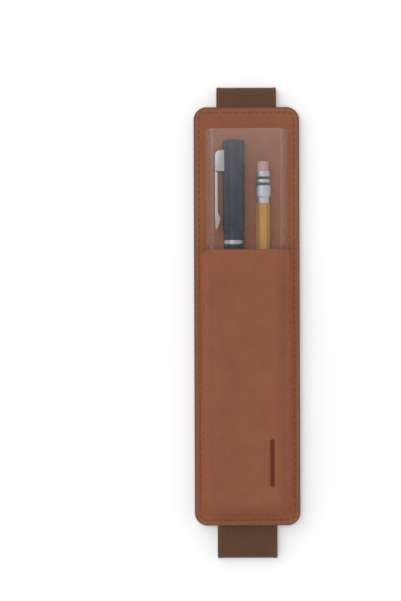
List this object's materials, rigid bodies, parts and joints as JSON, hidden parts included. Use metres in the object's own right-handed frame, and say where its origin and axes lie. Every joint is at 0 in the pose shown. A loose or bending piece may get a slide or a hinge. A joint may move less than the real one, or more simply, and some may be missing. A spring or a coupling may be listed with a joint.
{
  "type": "pen pouch",
  "caption": "Slim leatherette pen pouch on an elastic notebook band, with a clear cover, a capped fountain pen with clip and an eraser-topped pencil in its open pocket.",
  "frame": {"origin": "under the middle of the band's loop, on the surface the band lies on", "axes": "+X to the pouch's right, +Y along the pouch to its open top, +Z out of its front"},
  "size_m": [0.053, 0.237, 0.0239],
  "materials": {
    "leatherette": "fine grained, satin",
    "board": "plain",
    "lining": "smooth woven",
    "clear_film": "clear, slightly hazy",
    "elastic": "ribbed woven elastic",
    "pen_resin": "polished",
    "pen_black": "polished",
    "bright_steel": "polished",
    "cartridge": "translucent",
    "pencil_wood": "lacquered",
    "graphite": "matt",
    "ferrule": "satin",
    "eraser": "matt"
  },
  "bodies": {
    "pouch": {"back_panel": "leatherette", "stiffener_board": "board", "facing_panel": "leatherette", "front_pocket": "leatherette", "mouth_facing": "leatherette", "pocket_lining": "lining", "band_top_anchor": "elastic", "band_bottom_anchor": "elastic", "band_top_bend": "elastic", "band_bottom_bend": "elastic"},
    "band": {"band_back": "elastic"},
    "cover": {"clear_cover": "clear_film"},
    "barrel": {"pen_barrel": "pen_resin"},
    "grip": {"pen_section": "pen_black", "pen_feed": "pen_black", "pen_nib": "bright_steel", "ink_cartridge": "cartridge"},
    "cap": {"pen_cap": "pen_resin", "cap_liner": "pen_black", "cap_ring": "bright_steel", "clip_head": "bright_steel", "clip_pin": "bright_steel"},
    "clip": {"clip_lever": "bright_steel"},
    "pencil": {"pencil_casing": "pencil_wood", "pencil_lead": "graphite", "pencil_ferrule": "ferrule", "pencil_eraser": "eraser"}
  },
  "joints": [
    {"name": "band_stretch", "type": "slide", "parent": "pouch", "child": "band", "axis": [0, 0, -1], "range_m": [0, 0.018], "stiffness_N_per_m": 250, "deforming": ["band_top_bend", "band_bottom_bend"]},
    {"name": "cover_slide", "type": "slide", "parent": "pouch", "child": "cover", "axis": [0, 1, 0], "range_m": [0, 0.05]},
    {"name": "pen_slide", "type": "slide", "parent": "pouch", "child": "barrel", "axis": [0, 1, 0], "range_m": [-0.045, 0.16]},
    {"name": "barrel_unscrew", "type": "slide", "parent": "barrel", "child": "grip", "axis": [0, 1, 0], "range_m": [0, 0.055]},
    {"name": "cap_pull", "type": "slide", "parent": "grip", "child": "cap", "axis": [0, 1, 0], "range_m": [0, 0.05]},
    {"name": "clip_flex", "type": "hinge", "parent": "cap", "child": "clip", "pos_m": [-0.0151, 0.0784, 0.0152], "axis": [0, 0, -1], "range_deg": [0, 3.5], "stiffness_Nm_per_rad": 0.5},
    {"name": "pencil_slide", "type": "slide", "parent": "pouch", "child": "pencil", "axis": [0, 1, 0], "range_m": [0, 0.2]}
  ]
}
